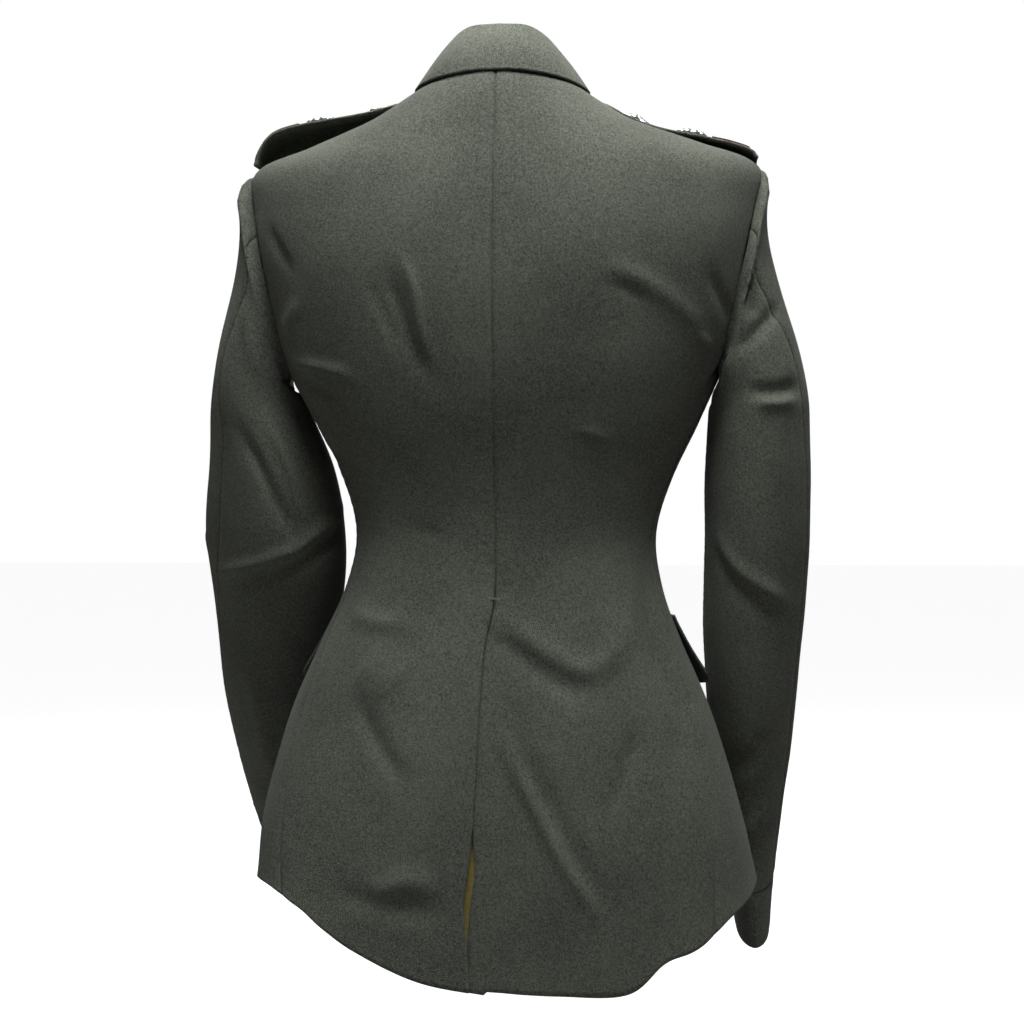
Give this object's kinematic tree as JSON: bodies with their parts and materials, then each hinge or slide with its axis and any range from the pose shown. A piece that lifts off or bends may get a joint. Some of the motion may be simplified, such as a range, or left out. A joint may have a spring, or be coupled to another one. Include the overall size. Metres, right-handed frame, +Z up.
{
  "type": "military dress tunic",
  "caption": "Long-sleeved military dress tunic in grey-green wool, filled out as worn, with a nipped waist, turn-down collar, shoulder straps, flap pockets and a back vent.",
  "frame": {"origin": "centre of the neck opening, level with the collar seam", "axes": "+Z up, -Y out of the garment's front, +X towards the wearer's left"},
  "size_m": [0.5404, 0.4023, 0.7839],
  "materials": {
    "wool": "fine heathered wool, matt",
    "lining": "smooth lining, slight sheen",
    "silver": "polished silver-coloured metal",
    "red_cloth": "felted cloth, matt"
  },
  "bodies": {
    "root": {"back_left": "wool", "back_right": "wool", "front_left": "wool", "front_right": "wool", "lapel_left": "wool", "lapel_right": "wool", "collar_fall": "wool", "collar_stand": "wool", "top_sleeve_left": "wool", "under_sleeve_left": "wool", "cuff_left": "wool", "top_sleeve_right": "wool", "under_sleeve_right": "wool", "cuff_right": "wool", "shoulder_strap_left": "wool", "shoulder_strap_right": "wool", "hip_flap_left": "wool", "hip_flap_right": "wool", "strap_pip_left": "silver", "strap_pip_right": "silver", "strap_rosette_left": "silver", "strap_rosette_right": "silver", "front_button_1": "silver", "front_button_2": "silver", "front_button_3": "silver", "front_button_4": "silver", "strap_tab_left": "red_cloth", "strap_tab_right": "red_cloth", "vent_lining": "lining"}
  },
  "joints": []
}
